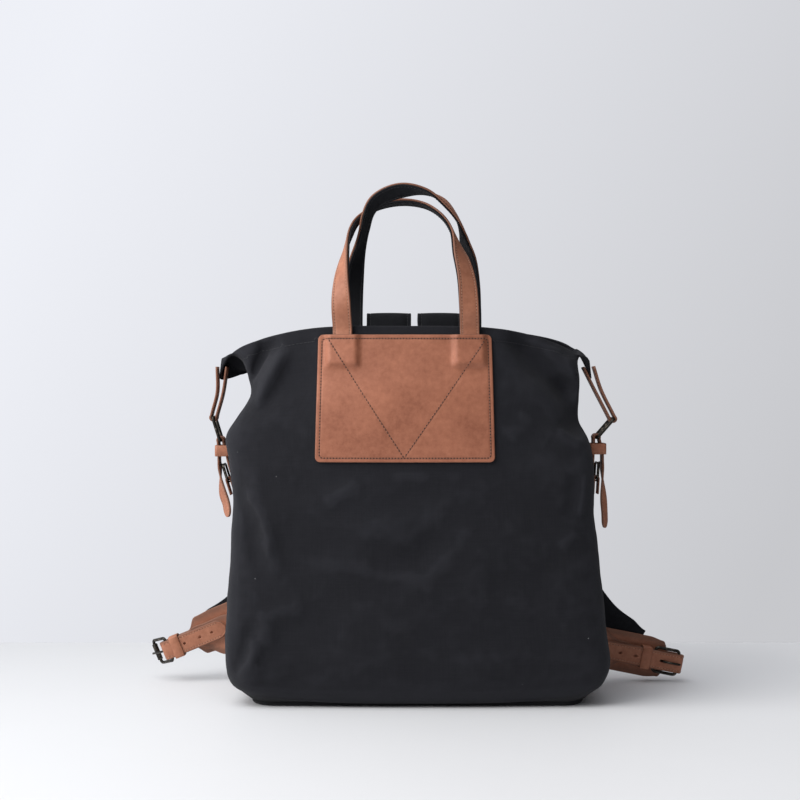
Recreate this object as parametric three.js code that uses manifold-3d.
// A canvas backpack with leather trim, standing on its base. Millimetres, +Z up, +X to the right, and the front
// panel faces -Y. The origin is the middle of the base's underside.
import * as THREE from "three";
import { mergeVertices } from "three/addons/utils/BufferGeometryUtils.js";
import Module from "manifold-3d";

const wasm = await Module();
wasm.setup();

// Driving dimensions of the sack
const HALF_WIDTH = 195;
const HEIGHT = 385;
const HALF_DEPTH = 70;
const CANVAS = 2;
const SEAM_RADIUS = 11;
const GAP = 0.4;

// Driving dimensions of the base
const BASE_HALF_WIDTH = 170;
const BASE_HALF_DEPTH = 57;
const BASE_THICKNESS = 9;
const BASE_CORNER = 26;
const BASE_EDGE = 3;
const RECESS = 2;

// Driving dimensions of the leather, webbing and metal
const LEATHER = 2.2;
const WEBBING = 1.6;
const HANDLE_WIDTH = 20;
const LAYER_GAP = 0.3;
const HANDLE_STACK = LEATHER + LAYER_GAP + WEBBING + 0.4;
const HANDLE_END = 348;
const FRONT_LEGS = [-76.5, 52.9];
const BACK_LEGS = [-68, 59.5];
const PATCH = {
  width: 181, height: 129, corner: 6, middle: -13, bottom: 247.5, narrowing: 0.022, thickness: 1.8, gap: 1,
  shoulder: 7,
};
const LOWER_STRAP_WIDTH = 20.4;
const SIDE_STRAP_WIDTH = 18;
const SHOULDER_WIDTH = 48;
const SHOULDER_THICKNESS = 4;
const TAB_FLARE = 44;
const BAR = 1.7;
const BEND = 3.4;
const ROLLER = 2.9;
const PRONG = 1.2;
const BUCKLE_LENGTH = 26;
const BUCKLE_HALF = 13.2;
const ROLLER_HALF = 9.2;
const RING_HALF = 12.4;
const SIDE_BUCKLE = { bar: 1.2, half: 11.4, prong: 0.9, tab: 15, leather: 1.6 };
const SIDE_MIDDLE = 3;
const HEM_SLACK = 1.7;
const KEEPER_CORNER = 1.2;

// Sections of the sack, bottom to rim. Heights are shares of HEIGHT, left, right and the side middles are shares of
// HALF_WIDTH, front and back are shares of HALF_DEPTH. Corner and side heights left out follow the one before.
const SECTIONS = [
  { up: 0.012, corner: 0.036, left: -0.92, right: 0.92, sideLeft: -0.92, sideRight: 0.92, front: -0.93, back: 0.87,
    frontCorner: -0.84, backCorner: 0.8 },
  { up: 0.045, corner: 0.06, left: -0.975, right: 0.97, sideLeft: -0.965, sideRight: 0.96, front: -1.02, back: 0.95,
    frontCorner: -0.9, backCorner: 0.88 },
  { up: 0.117, left: -1.0, right: 1.0, sideLeft: -0.985, sideRight: 0.985, front: -1.09, back: 0.99,
    frontCorner: -0.93, backCorner: 0.91 },
  { up: 0.26, left: -0.99, right: 0.968, sideLeft: -0.97, sideRight: 0.95, front: -1.12, back: 1.02,
    frontCorner: -0.91, backCorner: 0.89 },
  { up: 0.39, left: -0.982, right: 0.948, sideLeft: -0.955, sideRight: 0.925, front: -1.1, back: 1.0,
    frontCorner: -0.88, backCorner: 0.86 },
  { up: 0.52, left: -0.969, right: 0.923, sideLeft: -0.935, sideRight: 0.895, front: -1.05, back: 0.96,
    frontCorner: -0.82, backCorner: 0.81 },
  { up: 0.635, left: -0.992, right: 0.928, sideLeft: -0.95, sideRight: 0.885, front: -0.98, back: 0.92,
    frontCorner: -0.74, backCorner: 0.74 },
  { up: 0.71, corner: 0.7, left: -1.02, right: 0.908, sideLeft: -0.965, sideRight: 0.86, front: -0.92, back: 0.88,
    frontCorner: -0.66, backCorner: 0.67 },
  { up: 0.768, corner: 0.75, left: -0.985, right: 0.872, sideLeft: -0.91, sideRight: 0.82, front: -0.87, back: 0.83,
    frontCorner: -0.57, backCorner: 0.61 },
  { up: 0.838, corner: 0.812, left: -0.91, right: 0.885, sideLeft: -0.83, sideRight: 0.8, front: -0.8, back: 0.78,
    frontCorner: -0.46, backCorner: 0.54 },
  { up: 0.897, corner: 0.862, left: -0.925, right: 0.89, sideLeft: -0.815, sideRight: 0.81, front: -0.71, back: 0.71,
    frontCorner: -0.38, backCorner: 0.47 },
  { up: 0.945, corner: 0.903, side: 0.9, left: -0.95, right: 0.88, sideLeft: -0.88, sideRight: 0.83, front: -0.64,
    back: 0.66, frontCorner: -0.31, backCorner: 0.41, backLeft: 0.872 },
  { up: 0.972, corner: 0.92, side: 0.928, left: -0.975, right: 0.868, sideLeft: -0.975, sideRight: 0.875,
    front: -0.6, back: 0.62, frontCorner: -0.26, backCorner: 0.37, backLeft: 0.87, backRight: 0.94 },
  { up: 0.988, corner: 0.928, side: 0.908, left: -0.99, right: 0.86, sideLeft: -1.045, sideRight: 0.918,
    front: -0.575, back: 0.6, frontCorner: -0.23, backCorner: 0.355, backLeft: 0.866, backRight: 0.95 },
  { up: 1.0, corner: 0.936, side: 0.862, left: -0.995, right: 0.85, sideLeft: -1.055, sideRight: 0.93,
    front: -0.56, back: 0.58, frontCorner: -0.21, backCorner: 0.34, backLeft: 0.862, backRight: 0.955 },
];

// Folds pressed into the front and back. Ends are [across, up] shares, width and depth are shares of HALF_DEPTH, and
// depth is how far the valley goes in. A sharp fold has its ridge on one side, to the right of start to end.
const FOLDS = [
  { name: "left ear crease", face: -1, start: [-0.76, 0.945], end: [-0.9, 0.81], width: 0.13, depth: 0.16, sharp: 1 },
  { name: "right ear valley", face: -1, start: [0.5, 0.965], end: [0.78, 0.83], width: 0.2, depth: 0.2, sharp: 0 },
  { name: "right side valley", face: -1, start: [0.76, 0.85], end: [0.86, 0.72], width: 0.19, depth: 0.18, sharp: 0 },
  { name: "left soft crease", face: -1, start: [-0.93, 0.6], end: [-0.8, 0.36], width: 0.16, depth: 0.05, sharp: 1 },
  { name: "lower left crease", face: -1, start: [-0.84, 0.22], end: [-0.95, 0.08], width: 0.14, depth: 0.05, sharp: 1 },
  { name: "belly crease", face: -1, start: [-0.45, 0.3], end: [0.3, 0.46], width: 0.3, depth: 0.04, sharp: 0 },
  { name: "back left valley", face: 1, start: [-0.5, 0.9], end: [-0.88, 0.72], width: 0.2, depth: 0.16, sharp: 0 },
  { name: "back right valley", face: 1, start: [0.45, 0.92], end: [0.84, 0.7], width: 0.2, depth: 0.16, sharp: 0 },
];

// Where a face's quarter point lies between its middle and its corner, and how much of the middle's depth and height
// it keeps
const QUARTER = { across: 0.58, deep: 0.7, up: 0.86 };

// How the sack's mesh is divided: columns in each stretch of a section, rows between the table's sections
const COLUMNS = { front: 5, corner: 3, side: 3, back: 4 };
const STRETCHES = [
  ["front", 4], ["corner", 1], ["side", 2], ["corner", 1], ["back", 4], ["corner", 1], ["side", 2], ["corner", 1],
];
const ROWS_PER_SECTION = 2;

const vec = (x, y, z) => new THREE.Vector3(x, y, z);
const lerp = THREE.MathUtils.lerp;

// Catmull-Rom through a column of a table at a real row number
function smoothColumn(rows, column, at) {
  const value = (i) => rows[THREE.MathUtils.clamp(i, 0, rows.length - 1)][column];
  const i = Math.min(Math.floor(at), rows.length - 2);
  const f = at - i;
  const [a, b, c, d] = [value(i - 1), value(i), value(i + 1), value(i + 2)];
  return 0.5 * (2 * b + (c - a) * f + (2 * a - 5 * b + 4 * c - d) * f * f + (3 * b - a - 3 * c + d) * f * f * f);
}

const filled = SECTIONS.map((row) => {
  const corner = row.corner ?? row.up;
  const side = row.side ?? corner;
  return { ...row, corner, side, backLeft: row.backLeft ?? corner, backRight: row.backRight ?? corner };
});

// The closed curve of one section: two points at each corner, three on each face, one at the middle of each side
function sectionCurve(at) {
  const get = (column) => smoothColumn(filled, column, at);
  const point = (across, deep, up) => vec(across * HALF_WIDTH, deep * HALF_DEPTH, up * HEIGHT);
  const left = get("left");
  const right = get("right");
  const frontCorner = get("frontCorner");
  const backCorner = get("backCorner");
  const middle = (left + right) / 2;
  const frontMiddle = point(middle, get("front"), get("up"));
  const backMiddle = point(middle, get("back"), get("up"));
  const quarter = (face, side, deepCorner, upCorner) =>
    point(
      lerp(middle, side, QUARTER.across),
      lerp(deepCorner, get(face), QUARTER.deep),
      lerp(upCorner, get("up"), QUARTER.up),
    );
  const quarters = [
    quarter("front", right, frontCorner, get("corner")),
    quarter("back", right, backCorner, get("backRight")),
    quarter("back", left, backCorner, get("backLeft")),
    quarter("front", left, frontCorner, get("corner")),
  ];
  const sideDeep = (frontCorner + backCorner) / 2;
  const sideLeft = point(get("sideLeft"), sideDeep, get("side"));
  const sideRight = point(get("sideRight"), sideDeep, get("side"));
  const corners = [
    [quarters[0], point(right, frontCorner, get("corner")), sideRight],
    [sideRight, point(right, backCorner, get("backRight")), quarters[1]],
    [quarters[2], point(left, backCorner, get("backLeft")), sideLeft],
    [sideLeft, point(left, frontCorner, get("corner")), quarters[3]],
  ];
  const rounded = corners.map(([before, corner, after]) =>
    [before, after].map((other) => {
      const away = other.clone().sub(corner);
      return corner.clone().addScaledVector(away, Math.min(SEAM_RADIUS / away.length(), 0.45));
    }),
  );
  const points = [
    frontMiddle, quarters[0], ...rounded[0], sideRight, ...rounded[1], quarters[1],
    backMiddle, quarters[2], ...rounded[2], sideLeft, ...rounded[3], quarters[3],
  ];
  return new THREE.CatmullRomCurve3(points, true, "centripetal");
}

const smoothstep = (x) => THREE.MathUtils.smoothstep(x, 0, 1);

// How far the folds push a point of the front or back inwards
function foldDepth(point) {
  const across = point.x / HALF_WIDTH;
  const up = point.z / HEIGHT;
  const aspect = HEIGHT / HALF_WIDTH;
  let depth = 0;
  for (const fold of FOLDS) {
    if (Math.sign(point.y) !== fold.face) continue;
    const [x0, z0] = fold.start;
    const [x1, z1] = fold.end;
    const along = [x1 - x0, (z1 - z0) * aspect];
    const length = Math.hypot(...along);
    const offset = [across - x0, (up - z0) * aspect];
    const t = (offset[0] * along[0] + offset[1] * along[1]) / (length * length);
    const side = (offset[0] * along[1] - offset[1] * along[0]) / length;
    const width = (fold.width * HALF_DEPTH) / HALF_WIDTH;
    const taper = smoothstep(1.6 - Math.abs(2 * t - 1) * 1.1);
    const valley = Math.exp(-((side / width) ** 2));
    const ridge = fold.sharp * 0.9 * Math.exp(-((side / width + 1.1) ** 2));
    depth += fold.depth * HALF_DEPTH * taper * (valley - ridge);
  }
  return depth;
}

// A point of the sack's outside on a section's curve, around runs over the curve's points
function sackPoint(curve, around) {
  const n = curve.points.length;
  const point = curve.getPoint((((around % n) + n) % n) / n);
  point.y += -Math.sign(point.y) * foldDepth(point);
  return point;
}

// A BufferGeometry from points and triangles
function geometryOf(points, triangles) {
  const geometry = new THREE.BufferGeometry();
  const numbers = points.flatMap((p) => [p.x, p.y, p.z]);
  geometry.setAttribute("position", new THREE.Float32BufferAttribute(numbers, 3));
  geometry.setIndex(triangles.flat());
  return geometry;
}

function signedVolume(geometry) {
  const position = geometry.getAttribute("position");
  const index = geometry.getIndex().array;
  const corner = (i) => new THREE.Vector3().fromBufferAttribute(position, index[i]);
  let total = 0;
  for (let i = 0; i < index.length; i += 3) {
    total += corner(i).dot(corner(i + 1).cross(corner(i + 2))) / 6;
  }
  return total;
}

function facingOut(geometry) {
  if (signedVolume(geometry) < 0) geometry.getIndex().array.reverse();
  return geometry;
}

// A closed solid through rings of points; open runs get flat ends, and a loop joins its last ring to its first
function loft(rings, loop = false) {
  const count = rings[0].length;
  const triangles = [];
  const last = loop ? rings.length : rings.length - 1;
  for (let r = 0; r < last; r++) {
    const here = r * count;
    const next = ((r + 1) % rings.length) * count;
    for (let i = 0; i < count; i++) {
      const j = (i + 1) % count;
      const rising = [[here + i, here + j, next + j], [here + i, next + j, next + i]];
      const falling = [[here + i, here + j, next + i], [here + j, next + j, next + i]];
      triangles.push(...(i < count / 2 ? rising : falling));
    }
  }
  const end = (rings.length - 1) * count;
  for (let i = 1; i < count - 1 && !loop; i++) {
    triangles.push([0, i + 1, i], [end, end + i, end + i + 1]);
  }
  return facingOut(geometryOf(rings.flat(), triangles));
}

// The manifold solid of a geometry, and the geometry of a manifold solid
function solidOf(geometry) {
  const merged = mergeVertices(geometry, 1e-4);
  return new wasm.Manifold(
    new wasm.Mesh({
      numProp: 3,
      vertProperties: new Float32Array(merged.getAttribute("position").array),
      triVerts: new Uint32Array(merged.getIndex().array),
    }),
  );
}

function geometryFrom(solid) {
  const mesh = solid.getMesh();
  const geometry = new THREE.BufferGeometry();
  geometry.setAttribute("position", new THREE.BufferAttribute(new Float32Array(mesh.vertProperties), 3));
  geometry.setIndex(new THREE.BufferAttribute(new Uint32Array(mesh.triVerts), 1));
  return geometry;
}

function cut(geometry, ...tools) {
  return geometryFrom(tools.reduce((left, tool) => left.subtract(solidOf(tool)), solidOf(geometry)));
}

// A flat band through stations. A station's at is on the band's inner face and out looks away from that face; width
// carries on from the station before when it isn't given. tip rounds the last end with that radius.
function band(stations, { width = 0, thickness = LEATHER, lift = 0, steps = 2, tip = 0 }) {
  let last = width;
  const widths = stations.map((s) => (last = s.width ?? last));
  const path = new THREE.CatmullRomCurve3(stations.map((s) => s.at), false, "centripetal");
  const outs = new THREE.CatmullRomCurve3(stations.map((s) => s.out), false, "catmullrom");
  const count = (stations.length - 1) * steps;
  const shares = Array.from({ length: count + 1 }, (_, i) => i / count);
  if (tip > 0) {
    const whole = path.getLength();
    const tips = [0.75, 0.45, 0.2, 0.06].map((share) => path.getUtoTmapping(1 - (share * tip) / whole));
    const kept = shares.filter((t) => t < tips[0] - 1e-3);
    shares.splice(0, shares.length, ...kept, ...tips, 1);
  }
  const tipRounds = (t) => {
    if (tip === 0) return 1;
    const left = path.getPoint(t).distanceTo(path.getPoint(1)) / tip;
    return left >= 1 ? 1 : Math.sqrt(Math.max(0.04, 1 - (1 - left) ** 2));
  };
  const rings = shares.map((t) => {
    const index = Math.min(Math.floor(t * (stations.length - 1)), stations.length - 2);
    const flow = smoothstep(t * (stations.length - 1) - index);
    const half = (lerp(widths[index], widths[index + 1], flow) / 2) * tipRounds(t);
    const tangent = path.getTangent(t);
    const out = outs.getPoint(t);
    out.addScaledVector(tangent, -out.dot(tangent)).normalize();
    const across = tangent.clone().cross(out);
    const corners = [[-half, lift], [half, lift], [half, lift + thickness], [-half, lift + thickness]];
    return corners.map(([a, o]) => path.getPoint(t).addScaledVector(across, a).addScaledVector(out, o));
  });
  return loft(rings);
}

// A round wire along a closed or open run of points that lies in a plane with that normal
function wire(points, normal, radius, { sides = 6, loop = false } = {}) {
  const n = points.length;
  const rings = points.map((p, i) => {
    const before = loop ? points[(i - 1 + n) % n] : points[Math.max(i - 1, 0)];
    const after = loop ? points[(i + 1) % n] : points[Math.min(i + 1, n - 1)];
    const tangent = after.clone().sub(before).normalize();
    const a = normal.clone().addScaledVector(tangent, -normal.dot(tangent)).normalize();
    const b = tangent.clone().cross(a);
    return Array.from({ length: sides }, (_, k) => {
      const angle = ((k + 0.5) / sides) * 2 * Math.PI;
      const across = a.clone().multiplyScalar(Math.cos(angle)).addScaledVector(b, Math.sin(angle));
      return p.clone().addScaledVector(across, radius);
    });
  });
  return loft(rings, loop);
}

// The outline of a rectangle with round corners, as [a, b] pairs
function roundedRectangle(halfA, halfB, radius, cornerSteps) {
  const out = [];
  for (const [sa, sb, start] of [[1, 1, 0], [-1, 1, 0.5], [-1, -1, 1], [1, -1, 1.5]]) {
    for (let i = 0; i <= cornerSteps; i++) {
      const angle = (start + (0.5 * i) / cornerSteps) * Math.PI;
      const a = sa * (halfA - radius) + radius * Math.cos(angle);
      out.push([a, sb * (halfB - radius) + radius * Math.sin(angle)]);
    }
  }
  return out;
}

// Where the ray from the middle through a direction leaves a rounded rectangle
function edgeOfBase(x, y, grow) {
  const radius = BASE_CORNER + grow;
  const inside = (t) => {
    const dx = Math.max(Math.abs(x * t) - (BASE_HALF_WIDTH - BASE_CORNER), 0);
    const dy = Math.max(Math.abs(y * t) - (BASE_HALF_DEPTH - BASE_CORNER), 0);
    return Math.hypot(dx, dy) < radius;
  };
  let [low, high] = [0, 4];
  for (let i = 0; i < 40; i++) {
    const t = (low + high) / 2;
    if (inside(t)) low = t;
    else high = t;
  }
  return [x * low, y * low];
}

const group = new THREE.Group();
const finishes = {
  canvas: { color: 0x26272c, roughness: 0.95, metalness: 0 },
  base: { color: 0x131316, roughness: 0.8, metalness: 0 },
  leather: { color: 0xb06c4c, roughness: 0.6, metalness: 0 },
  webbing: { color: 0x17181b, roughness: 0.95, metalness: 0 },
  metal: { color: 0x3a3830, roughness: 0.4, metalness: 1 },
};

function add(name, geometry, finish) {
  const mesh = new THREE.Mesh(geometry, new THREE.MeshStandardMaterial(finishes[finish]));
  mesh.name = name;
  group.add(mesh);
}

// The sack: one shell of canvas, open at the mouth, with a floor above the base panel
function sack() {
  const around = [];
  let start = -2;
  for (const [kind, span] of STRETCHES) {
    const n = COLUMNS[kind] * span;
    for (let i = 0; i < n; i++) around.push(start + (span * i) / n);
    start += span;
  }
  const outer = [];
  for (let r = 0; r <= (SECTIONS.length - 1) * ROWS_PER_SECTION; r++) {
    const curve = sectionCurve(r / ROWS_PER_SECTION);
    outer.push(around.map((a) => sackPoint(curve, a)));
  }
  const ceiling = BASE_THICKNESS + GAP;
  const recess = (grow, z) => outer[0].map((p) => vec(...edgeOfBase(p.x, p.y, grow), z));
  const rows = [recess(RECESS, ceiling), recess(RECESS, SECTIONS[0].up * HEIGHT + 0.5), ...outer];
  const n = around.length;
  const walls = 2;
  const inner = rows.slice(walls).map((row, k) =>
    row.map((p, i) => {
      const r = k + walls;
      const up = rows[Math.min(r + 1, rows.length - 1)][i].clone().sub(rows[r - 1][i]);
      const along = row[(i + 1) % n].clone().sub(row[(i - 1 + n) % n]);
      const moved = p.clone().addScaledVector(along.cross(up).normalize(), -CANVAS);
      moved.z = Math.max(moved.z, ceiling + CANVAS + k * 0.4);
      return moved;
    }),
  );
  const low = vec(0, 0, ceiling);
  const high = vec(0, 0, ceiling + CANVAS);
  const rings = [rows[0].map(() => low), ...rows, ...inner.reverse(), rows[0].map(() => high)];
  return mergeVertices(loft(rings), 1e-3);
}

const sackGeometry = withoutSlivers(sack());

// The same geometry without triangles that lost their area
function withoutSlivers(geometry) {
  const index = geometry.getIndex().array;
  const kept = [];
  for (let i = 0; i < index.length; i += 3) {
    const [a, b, c] = [index[i], index[i + 1], index[i + 2]];
    if (a !== b && b !== c && c !== a) kept.push(a, b, c);
  }
  geometry.setIndex(kept);
  return facingOut(geometry);
}

const sackMesh = new THREE.Mesh(sackGeometry, new THREE.MeshBasicMaterial({ side: THREE.DoubleSide }));

// Rays start this far out, clear of everything
const FAR = 400;

// The outermost point of the sack looked at from the front or back at (x, z), or from a side at (y, z)
function onFace(x, z, face) {
  const caster = new THREE.Raycaster(vec(x, face * FAR, z), vec(0, -face, 0));
  return caster.intersectObject(sackMesh)[0].point;
}

// Hits of a sideways ray through (y, z), from outside inwards
function sideHits(y, z, side) {
  const caster = new THREE.Raycaster(vec(side * FAR, y, z), vec(-side, 0, 0));
  return caster.intersectObject(sackMesh).map((hit) => hit.point);
}

// How far out the side stands under a strap's width
function sideOut(z, side, width) {
  const shares = [-0.5, -0.25, 0, 0.25, 0.5];
  const spots = shares.map((share) => sideHits(SIDE_MIDDLE + share * width, z, side)[0].x * side);
  return side * Math.max(...spots);
}

function basePanel() {
  const rings = [[BASE_EDGE, 0], [BASE_EDGE * 0.3, BASE_EDGE * 0.3], [0, BASE_EDGE], [0, BASE_THICKNESS]];
  const outline = (inset) =>
    roundedRectangle(BASE_HALF_WIDTH - inset, BASE_HALF_DEPTH - inset, BASE_CORNER - inset, 5);
  return loft(rings.map(([inset, z]) => outline(inset).map(([x, y]) => vec(x, y, z))));
}

// The patch lies on the front panel and rises over the two ends of the front handle
function patch() {
  const rise = HANDLE_STACK + GAP;
  const overHandle = (x, z) => {
    const near = Math.min(...FRONT_LEGS.map((leg) => Math.abs(x - leg)));
    const acrossShare = 1 - smoothstep((near - HANDLE_WIDTH / 2 - 2.5) / PATCH.shoulder);
    const upShare = smoothstep((z - HANDLE_END + PATCH.shoulder) / PATCH.shoulder);
    return rise * acrossShare * upShare;
  };
  const edgeAt = (k) => HANDLE_WIDTH / 2 + 2.5 + k * PATCH.shoulder;
  const edges = [-1, 1].flatMap((side) => [0, 0.5, 1].map((k) => side * edgeAt(k)));
  const shareOf = (x) => (x - PATCH.middle) / (PATCH.width / 2);
  const overLegs = FRONT_LEGS.flatMap((leg) => [...edges, 0].map((edge) => shareOf(leg + edge)));
  const xs = [-1, -0.985, 0.985, 1, -0.36, -0.18, 0, 0.18, 0.36, ...overLegs.filter((x) => Math.abs(x) < 0.97)];
  xs.sort((a, b) => a - b);
  const zs = [0, 0.012, 0.06, 0.25, 0.5, 0.66, 0.72, 0.78, 0.9, 0.985, 1];
  const corner = (across, up) => {
    const cx = PATCH.width / 2 - PATCH.corner;
    const cz = PATCH.height / 2 - PATCH.corner;
    const [a, b] = [(across * PATCH.width) / 2, (up - 0.5) * PATCH.height];
    const [da, db] = [Math.abs(a) - cx, Math.abs(b) - cz];
    if (da <= 0 || db <= 0) return [a, b];
    const shrink = Math.max(da, db) / Math.hypot(da, db);
    return [Math.sign(a) * (cx + da * shrink), Math.sign(b) * (cz + db * shrink)];
  };
  const layer = (thickness) =>
    zs.flatMap((up) =>
      xs.map((across) => {
        const [a, b] = corner(across, up);
        const z = PATCH.bottom + PATCH.height / 2 + b;
        const x = PATCH.middle + a * (1 - PATCH.narrowing * up);
        const face = onFace(x, z, -1);
        return vec(x, face.y - PATCH.gap - overHandle(x, z) - thickness, z);
      }),
    );
  const points = [...layer(0), ...layer(PATCH.thickness)];
  const n = xs.length;
  const half = n * zs.length;
  const triangles = [];
  const quad = (a, b, c, d) => triangles.push([a, b, c], [a, c, d]);
  for (let r = 0; r < zs.length - 1; r++) {
    for (let i = 0; i < n - 1; i++) {
      const k = r * n + i;
      quad(k, k + n, k + n + 1, k + 1);
      quad(half + k, half + k + 1, half + k + n + 1, half + k + n);
    }
  }
  for (let i = 0; i < n - 1; i++) {
    const top = (zs.length - 1) * n + i;
    quad(i, i + 1, half + i + 1, half + i);
    quad(top + 1, top, half + top, half + top + 1);
  }
  for (let r = 0; r < zs.length - 1; r++) {
    const right = r * n + n - 1;
    quad(right, right + n, half + right + n, half + right);
    quad(r * n + n, r * n, half + r * n, half + r * n + n);
  }
  return facingOut(geometryOf(points, triangles));
}

add("canvas_sack", sackGeometry, "canvas");
add("base_panel", basePanel(), "base");
add("front_patch", patch(), "leather");

// The two carry handles. Rows run from the left end to the right end: across, deep and up are millimetres, and out
// is where the leather side looks. The ends lie on the panel, so their deep value comes from the panel itself.
const HANDLES = {
  front: {
    face: -1,
    legs: [
      { x: FRONT_LEGS[0], ups: [HANDLE_END, 362, 374, 382] },
      { x: FRONT_LEGS[1], ups: [382, 374, 362, HANDLE_END] },
    ],
    free: [
      { at: [-77.7, -43, 402], out: [-0.12, -1, 0] },
      { at: [-77.5, -37, 432], out: [-0.64, -0.77, 0] },
      { at: [-75, -24, 458], out: [-0.9, -0.44, 0] },
      { at: [-69.2, 0, 484], out: [-1, -0.08, 0.1] },
      { at: [-60, 15, 500], out: [-0.85, 0, 0.5] },
      { at: [-43, 23, 512.5], out: [-0.4, 0.08, 0.92] },
      { at: [-16, 25, 518.5], out: [0, 0.12, 1] },
      { at: [9, 23, 514.5], out: [0.36, 0.05, 0.92] },
      { at: [25.5, 16, 503], out: [0.8, -0.1, 0.58] },
      { at: [36.5, 3, 485], out: [0.96, -0.28, 0.12] },
      { at: [44.5, -20, 458], out: [0.62, -0.78, 0] },
      { at: [50, -36, 432], out: [0.4, -0.92, 0] },
      { at: [52.3, -43, 402], out: [0.08, -1, 0] },
    ],
  },
  back: {
    face: 1,
    legs: [
      { x: BACK_LEGS[0], ups: [HANDLE_END, 362, 374, 382] },
      { x: BACK_LEGS[1], ups: [382, 374, 362, HANDLE_END] },
    ],
    free: [
      { at: [-68, 45, 402], out: [0, 1, 0] },
      { at: [-67, 42, 432], out: [-0.3, 0.95, 0] },
      { at: [-63.5, 31, 460], out: [-0.65, 0.76, 0] },
      { at: [-55.5, 9, 487], out: [-0.85, 0.5, 0.12] },
      { at: [-50.5, -3, 504], out: [-0.78, 0.48, 0.4] },
      { at: [-41, -10, 517], out: [-0.45, 0.58, 0.68] },
      { at: [-18, -14, 526], out: [0, 0.6, 0.8] },
      { at: [8, -12, 525], out: [0.22, 0.1, 0.95] },
      { at: [28, -6, 514.5], out: [0.62, -0.3, 0.72] },
      { at: [41, 4, 500], out: [0.93, -0.02, 0.37] },
      { at: [48.5, 17, 485], out: [0.95, 0.26, 0.14] },
      { at: [54.5, 34, 460], out: [0.6, 0.8, 0] },
      { at: [58, 42, 432], out: [0.3, 0.95, 0] },
      { at: [59.5, 45, 402], out: [0, 1, 0] },
    ],
  },
};

function handleStations({ face, legs, free }) {
  const onPanel = ({ x, ups }) =>
    ups.map((z) => {
      const seats = [-1, 0, 1].map((share) => onFace(x + (share * HANDLE_WIDTH) / 2, z, face).y);
      const [low, middle, high] = seats;
      const slope = (high - low) / HANDLE_WIDTH;
      const deep = face * Math.max(face * middle, (face * (low + high)) / 2);
      return { at: vec(x, deep + face * (GAP + WEBBING + LAYER_GAP), z), out: vec(-face * slope, face, 0) };
    });
  const between = free.map((row) => ({ at: vec(...row.at), out: vec(...row.out) }));
  return [...onPanel(legs[0]), ...between, ...onPanel(legs[1])];
}

for (const [side, handle] of Object.entries(HANDLES)) {
  const stations = handleStations(handle);
  const size = { width: HANDLE_WIDTH, steps: 2 };
  const leather = band(stations, { ...size, thickness: LEATHER, lift: LAYER_GAP / 2 });
  const webbing = band(stations, { ...size, thickness: WEBBING, lift: -LAYER_GAP / 2 - WEBBING });
  add(`${side}_handle_leather`, leather, "leather");
  add(`${side}_handle_webbing`, webbing, "webbing");
}

// A frame of reference beside a buckle: a runs out from the bag, c runs towards the viewer, b across the strap
function placed(origin, along, front) {
  const u = along.clone().normalize();
  const w = front.clone().addScaledVector(u, -front.dot(u)).normalize();
  const v = w.clone().cross(u);
  const at = (a, c, b = 0) => origin.clone().addScaledVector(u, a).addScaledVector(w, c).addScaledVector(v, b);
  const turn = (a, c) => u.clone().multiplyScalar(a).addScaledVector(w, c);
  return { at, turn, across: v };
}

// Stations round a bar at the frame's origin shifted by a, from one angle to another
function aroundBar(frame, a, radius, from, to, count = 5) {
  return Array.from({ length: count }, (_, i) => {
    const angle = THREE.MathUtils.degToRad(lerp(from, to, i / (count - 1)));
    const [ca, cc] = [Math.cos(angle), Math.sin(angle)];
    return { at: frame.at(a + radius * ca, radius * cc), out: frame.turn(ca, cc) };
  });
}

// A bar-shaped box across a strap, given by its ends in a and c, used to cut slots
function slot(frame, a0, a1, c0, c1, half) {
  const ring = (b) => [[a0, c0], [a1, c0], [a1, c1], [a0, c1]].map(([a, c]) => frame.at(a, c, b));
  return loft([ring(-half), ring(half)]);
}

function disc(frame, a, radius, half) {
  const ring = (b) =>
    Array.from({ length: 16 }, (_, i) => {
      const angle = (i / 16) * 2 * Math.PI;
      return frame.at(a + radius * Math.cos(angle), radius * Math.sin(angle), b);
    });
  return loft([ring(-half), ring(half)]);
}

// A rectangular wire loop in the frame's own plane, from its rear bar at a = 0
function wireFrame(frame, length, halfWidth, radius) {
  const outline = roundedRectangle(length / 2, halfWidth, BEND, 3);
  const points = outline.map(([a, b]) => frame.at(a + length / 2, 0, b));
  return wire(points, frame.turn(0, 1), radius, { loop: true });
}

// A tube across the strap
function tube(frame, a, outer, bore, half) {
  const ring = (radius, b) =>
    Array.from({ length: 12 }, (_, i) => {
      const angle = (i / 12) * 2 * Math.PI;
      return frame.at(a + radius * Math.cos(angle), radius * Math.sin(angle), b);
    });
  return loft([ring(bore, -half), ring(outer, -half), ring(outer, half), ring(bore, half)], true);
}

// A band closed on itself round a strap: half sizes of its opening across the strap and through it
function keeper(frame, a0, a1, middle, halfAcross, halfThrough, thickness) {
  const outline = (grow) => roundedRectangle(halfThrough + grow, halfAcross + grow, KEEPER_CORNER + grow, 2);
  const [inside, outside] = [outline(0), outline(thickness)];
  const rings = inside.map(([c, b], i) => {
    const [co, bo] = outside[i];
    const corners = [[a0, c, b], [a1, c, b], [a1, co, bo], [a0, co, bo]];
    return corners.map(([a, through, across]) => frame.at(a, middle + through, across));
  });
  return loft(rings, true);
}

// Distances of the layers from the middle of a bar
const TAB_FACE = BAR + 0.35;
const STRAP_FACE = TAB_FACE + LEATHER + 0.35;
const KEEPER = 1.6;
const STRAP_BACK = STRAP_FACE + KEEPER + 0.8;
const PRONG_EYE = BAR + 0.35 + PRONG;
const straight = (frame, c, pairs) =>
  pairs.map(([a, width]) => ({ at: frame.at(a, c), out: frame.turn(0, Math.sign(c)), width }));

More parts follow.
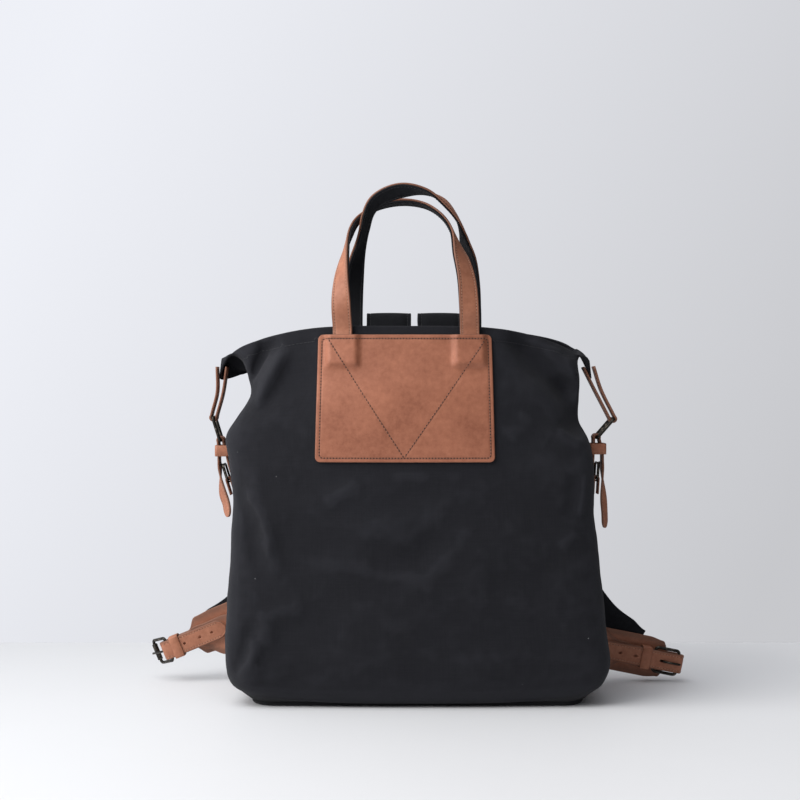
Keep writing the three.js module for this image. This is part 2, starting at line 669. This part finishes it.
// The shoulder strap's buckle at each lower rear corner. seat is the middle of the buckle's rear bar.
const LOWER = [
  {
    side: "left", sign: -1, seat: vec(-271.7, 72, 34.8), along: vec(-0.925, 0, -0.38), swing: 50, foldAt: 0,
    tipAt: -68, tabSeat: [[-168, 49], [-180, 50]], tabPass: { at: vec(-208, 71.4, 51), width: TAB_FLARE },
    wide: [[-92, 46], [-60, 46], [-38, 43], [-26, LOWER_STRAP_WIDTH]],
    strap: [
      { at: [-238, 82.2, 48], width: 40, out: [0, 1, 0] },
      { at: [-217, 82.4, 57], out: [0, 1, 0] },
      { at: [-190, 82.8, 76], out: [0, 1, 0] },
      { at: [-158, 82.8, 118], out: [0, 1, 0] },
      { at: [-118, 82, 185], out: [0, 1, 0] },
      { at: [-80, 78, 262], out: [0, 1, 0.1] },
    ],
    middle: -30,
  },
  {
    side: "right", sign: 1, seat: vec(260.8, 72, 24.4), along: vec(0.981, 0, -0.196), swing: 0, foldAt: 26,
    tipAt: -66, tabSeat: [[166, 33], [178, 33]], tabPass: { at: vec(205, 70.8, 33), width: TAB_FLARE },
    wide: [[-60, 45], [-40, 45], [-8, 45], [8, 40], [15, LOWER_STRAP_WIDTH]],
    strap: [
      { at: [243, 82.2, 36], width: 40, out: [0, 1, 0] },
      { at: [226, 82.4, 46], out: [0, 1, 0] },
      { at: [203, 82.8, 64], out: [0, 1, 0] },
      { at: [172, 82.8, 106], out: [0, 1, 0] },
      { at: [130, 82, 178], out: [0, 1, 0] },
      { at: [82, 78, 262], out: [0, 1, 0.1] },
    ],
    middle: 25,
  },
];

const narrow = (...places) => places.map((a) => [a, LOWER_STRAP_WIDTH]);

for (const row of LOWER) {
  const strapFrame = placed(row.seat, row.along, vec(0, -1, 0));
  const swing = THREE.MathUtils.degToRad(row.swing);
  const metalAlong = strapFrame.turn(Math.cos(swing), -Math.sin(swing));
  const metalFrame = placed(row.seat, metalAlong, strapFrame.turn(Math.sin(swing), Math.cos(swing)));
  const name = (piece) => `${row.side}_${piece}`;

  add(name("buckle_frame"), wireFrame(metalFrame, BUCKLE_LENGTH, BUCKLE_HALF, BAR), "metal");
  add(name("buckle_roller"), tube(metalFrame, BUCKLE_LENGTH, ROLLER, BAR + 0.2, ROLLER_HALF), "metal");

  const folded = row.foldAt > 0;
  const overStrap = STRAP_FACE + LEATHER + PRONG + 0.3;
  const rest = ROLLER + PRONG + 0.3;
  const eye = aroundBar(metalFrame, 0, PRONG_EYE, 250, 70, 7).map((s) => s.at);
  const reach = folded
    ? [[6.5, PRONG_EYE + 0.3], [12, overStrap], [BUCKLE_LENGTH + 1.5, overStrap]]
    : [[12, rest + 0.4], [BUCKLE_LENGTH + 2.5, rest]];
  const prongPoints = [...eye, ...reach.map(([a, c]) => metalFrame.at(a, c))];
  add(name("buckle_prong"), wire(prongPoints, metalFrame.across, PRONG), "metal");

  const underTab = [-0.25, 0, 0.25, 0.5];
  const seatSpots = row.tabSeat.flatMap(([x, z]) => underTab.map((share) => onFace(x, z + share * TAB_FLARE, 1).y));
  const seatDeep = Math.max(...seatSpots);
  const tabStations = [
    ...row.tabSeat.map(([x, z]) => ({ at: vec(x, seatDeep + GAP, z), out: vec(0, 1, 0), width: TAB_FLARE })),
    { at: row.tabPass.at.clone(), out: vec(0, 1, 0), width: row.tabPass.width },
    ...straight(strapFrame, -TAB_FACE, [[-38, LOWER_STRAP_WIDTH + 4], ...narrow(-26, -12, -4)]),
    ...aroundBar(strapFrame, 0, TAB_FACE, -90, 90),
    ...straight(strapFrame, TAB_FACE, narrow(-5, -14, -24)),
  ];
  const eyeSlot = disc(strapFrame, 0, TAB_FACE + LEATHER + 1, PRONG + 0.4);
  add(name("corner_tab"), cut(band(tabStations, {}), eyeSlot), "leather");

  const bend = folded ? ROLLER + 0.35 : STRAP_FACE;
  const front = folded ? narrow(19, 8, -8) : narrow(-7, -18);
  const strapStations = [
    ...straight(strapFrame, -STRAP_BACK, row.wide),
    ...straight(strapFrame, -(STRAP_BACK * 0.85 + bend * 0.15), narrow(row.foldAt - 3)),
    ...aroundBar(strapFrame, row.foldAt, bend, -60, 90),
    ...straight(strapFrame, STRAP_FACE, [...front, ...narrow(-40, -56, row.tipAt)]),
  ];
  const hole = folded
    ? slot(strapFrame, 5.5, 12.5, STRAP_FACE - 1.5, STRAP_FACE + LEATHER + 1.5, PRONG + 0.4)
    : slot(metalFrame, 1, 9.5, PRONG_EYE - PRONG - 0.9, PRONG_EYE + PRONG + 1.6, PRONG + 0.4);
  add(name("strap_end"), cut(band(strapStations, { tip: LOWER_STRAP_WIDTH / 2 }), hole), "leather");

  const keeperFront = STRAP_FACE + LEATHER + 0.4;
  const keeperBack = -TAB_FACE - LEATHER - 0.4;
  const [keeperMiddle, keeperHalf] = [(keeperFront + keeperBack) / 2, (keeperFront - keeperBack) / 2];
  const keeperLoop = keeper(strapFrame, -15.5, -5, keeperMiddle, LOWER_STRAP_WIDTH / 2 + 0.6, keeperHalf, KEEPER);
  add(name("strap_keeper"), keeperLoop, "leather");

  const foot = row.strap.map((s) => {
    return { at: vec(...s.at), out: vec(...s.out), width: s.width ?? SHOULDER_WIDTH };
  });
  const arch = [
    [row.middle + row.sign * 18, 74.5, 330], [row.middle + row.sign * 4, 69, 372], [row.middle, 66, 392],
  ].map((at) => ({ at: vec(...at), out: vec(0, 1, 0.05), width: SHOULDER_WIDTH }));
  const anchor = [385, 365, 346].map((z) => {
    const deep = onFace(row.middle, Math.min(z, 372), 1).y + GAP + SHOULDER_THICKNESS + 0.6;
    return { at: vec(row.middle, deep, z), out: vec(0, -1, 0), width: SHOULDER_WIDTH };
  });
  const archTop = (anchor[0].at.y + 66) / 2;
  const over = { at: vec(row.middle, archTop, 398.5), out: vec(0, 0, 1), width: SHOULDER_WIDTH };
  const shoulder = band([...foot, ...arch, over, ...anchor], { thickness: SHOULDER_THICKNESS });
  add(name("shoulder_strap"), shoulder, "webbing");
}

// The strap, ring and buckle at each side. Pairs are [outward, up] in millimetres: the ring's two bars, the strap's
// inner leg from the body to the ring, its free outer leg from the ring to the tip, and the buckle's two bars.
const SIDES = [
  {
    side: "left", sign: -1, hem: 344, tabMiddle: [205.5, 320], ringTop: [213, 291], ringLow: [205.6, 267], twist: 0.5,
    inner: [[187.2, 214], [190.8, 226], [195.3, 240], [198.2, 252]], outer: [[206.3, 256], [206.4, 246], [205.6, 235]],
    tip: [[202.8, 212], [199, 199], [197.6, 186.5]], bars: [[197.5, 225.9], [202.4, 241.7]], keeper: [250.4, 262],
  },
  {
    side: "right", sign: 1, hem: 344, tabMiddle: [188, 322], ringTop: [204.5, 289.5], ringLow: [187.5, 270], twist: 0.42,
    inner: [[180.2, 214], [181.6, 226], [182.4, 240], [183, 252]], outer: [[192.4, 256], [192.8, 246], [192.9, 235]],
    tip: [[194.4, 208], [195.6, 190], [196, 175]], bars: [[187.6, 227], [188.5, 243.4]], keeper: [252.5, 264],
  },
];

for (const row of SIDES) {
  const name = (piece) => `${row.side}_${piece}`;
  const point = ([x, z]) => vec(row.sign * x, SIDE_MIDDLE, z);
  const top = point(row.ringTop);
  const low = point(row.ringLow);
  const ringFrame = placed(top, low.clone().sub(top), vec(row.sign, 0, 0));
  const ringLength = top.distanceTo(low);
  add(name("ring"), wireFrame(ringFrame, ringLength, RING_HALF, BAR), "metal");

  const tabFrame = placed(top, point(row.tabMiddle).sub(top), vec(row.sign, 0, 0));
  const tabLength = top.distanceTo(point(row.tabMiddle));
  const outward = vec(row.sign, 0, 0);
  const inward = vec(-row.sign, 0, 0);
  const hemSpots = [-0.35, 0, 0.35].map((share) => SIDE_MIDDLE + share * SIDE_STRAP_WIDTH);
  const hemHits = hemSpots.map((y) => sideHits(y, row.hem, row.sign));
  const outside = Math.max(...hemHits.map((hits) => hits[0].x * row.sign)) + GAP + HEM_SLACK;
  const inside = Math.min(...hemHits.map((hits) => hits[1].x * row.sign)) - GAP - HEM_SLACK;
  const tabStations = [
    { at: vec(row.sign * outside, SIDE_MIDDLE, row.hem), out: outward },
    { at: tabFrame.at(tabLength * 0.9, 2), out: outward },
    { at: tabFrame.at(7, TAB_FACE - 0.3), out: outward },
    ...aroundBar(tabFrame, 0, TAB_FACE, 60, 300, 7),
    { at: tabFrame.at(7, -TAB_FACE + 0.3), out: inward },
    { at: tabFrame.at(tabLength * 0.9, -2), out: inward },
    { at: vec(row.sign * inside, SIDE_MIDDLE, row.hem), out: inward },
  ];
  add(name("ear_tab"), band(tabStations, { width: SIDE_STRAP_WIDTH }), "leather");

  const down = vec(0, 0, -1);
  const legFrame = placed(low, down, vec(row.sign, 0, 0));
  const sewn = [104, 128, 152, 176, 198].map((z) => {
    const x = sideOut(z, row.sign, SIDE_STRAP_WIDTH) + row.sign * 2 * GAP;
    return { at: vec(x, SIDE_MIDDLE, z), out: outward };
  });
  const rising = row.inner.map((pair) => ({ at: point(pair), out: outward }));
  const loopRound = aroundBar(legFrame, 0, TAB_FACE, -60, -300, 7);
  const tipTurn = vec(row.sign * Math.cos(row.twist), -Math.sin(row.twist), 0);
  const fallen = [
    ...row.outer.map((pair) => ({ at: point(pair), out: outward })),
    ...row.tip.map((pair) => ({ at: point(pair), out: tipTurn })),
  ];
  const inner = [...sewn, ...rising].map((s) => {
    return { at: s.at.clone().addScaledVector(outward, LEATHER), out: inward };
  });
  const hanging = band([...inner, ...loopRound, ...fallen], { width: SIDE_STRAP_WIDTH, tip: SIDE_STRAP_WIDTH / 2 });
  add(name("side_strap"), hanging, "leather");

  const [opening, closing] = [row.inner[3][0] - 1, row.outer[0][0] + LEATHER + 1.1];
  const keeperFrame = placed(vec(0, SIDE_MIDDLE, 0), vec(0, 0, 1), outward);
  const keeperHalf = (closing - opening) / 2;
  const keeperAcross = SIDE_STRAP_WIDTH / 2 + 0.6;
  const keeperMiddle = (opening + closing) / 2;
  const keeperLoop = keeper(keeperFrame, ...row.keeper, keeperMiddle, keeperAcross, keeperHalf, KEEPER);
  add(name("side_keeper"), keeperLoop, "leather");

  const [rear, front] = row.bars.map(point);
  const buckle = placed(rear, front.clone().sub(rear), outward);
  const length = rear.distanceTo(front);
  add(name("side_buckle_frame"), wireFrame(buckle, length, SIDE_BUCKLE.half, SIDE_BUCKLE.bar), "metal");
  const eyeRadius = SIDE_BUCKLE.bar + 0.3 + SIDE_BUCKLE.prong;
  const eye = aroundBar(buckle, 0, eyeRadius, 250, 80, 7).map((s) => s.at);
  const rest = SIDE_BUCKLE.bar + SIDE_BUCKLE.prong + 0.3;
  const prongPoints = [...eye, buckle.at(length * 0.5, rest), buckle.at(length + 1, rest)];
  add(name("side_buckle_prong"), wire(prongPoints, buckle.across, SIDE_BUCKLE.prong), "metal");
  const face = SIDE_BUCKLE.bar + 0.3;
  const runs = [-16, -10, -4].map((a) => [a, SIDE_BUCKLE.tab]);
  const foldStations = [
    ...straight(buckle, -face, runs),
    ...aroundBar(buckle, 0, face, -90, 90),
    ...straight(buckle, face, runs.reverse()),
  ];
  const fold = band(foldStations, { thickness: SIDE_BUCKLE.leather });
  const foldSlot = disc(buckle, 0, face + SIDE_BUCKLE.leather + 0.8, SIDE_BUCKLE.prong + 0.4);
  add(name("side_buckle_tab"), cut(fold, foldSlot), "leather");
}

export default group;
